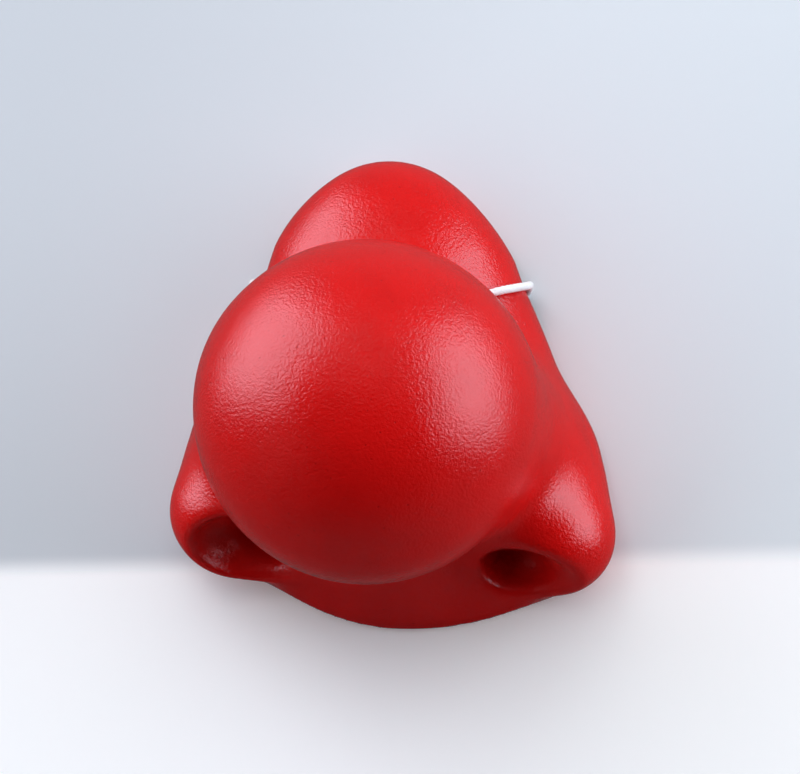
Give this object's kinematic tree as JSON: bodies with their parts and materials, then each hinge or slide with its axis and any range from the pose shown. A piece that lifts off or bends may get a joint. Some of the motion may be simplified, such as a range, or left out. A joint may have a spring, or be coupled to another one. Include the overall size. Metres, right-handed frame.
{
  "type": "clown nose with elastic cord",
  "caption": "Hollow latex clown nose: a big ball tip on a flared body with a bridge, two winged nostrils and a lip, on a round elastic cord.",
  "frame": {"origin": "middle of the nose shell's box, level with the rim that it rests on", "axes": "+Z from the rim to the tip of the ball, +Y to the bridge, -Y to the lip, +X to the right wing as seen from the tip"},
  "size_m": [0.0734, 0.078, 0.063],
  "materials": {
    "red_latex": "satin, finely pitted",
    "white_elastic": "braided"
  },
  "bodies": {
    "root": {"nose_shell": "red_latex", "elastic_cord": "white_elastic", "cord_knot_left": "white_elastic", "cord_knot_right": "white_elastic"}
  },
  "joints": []
}
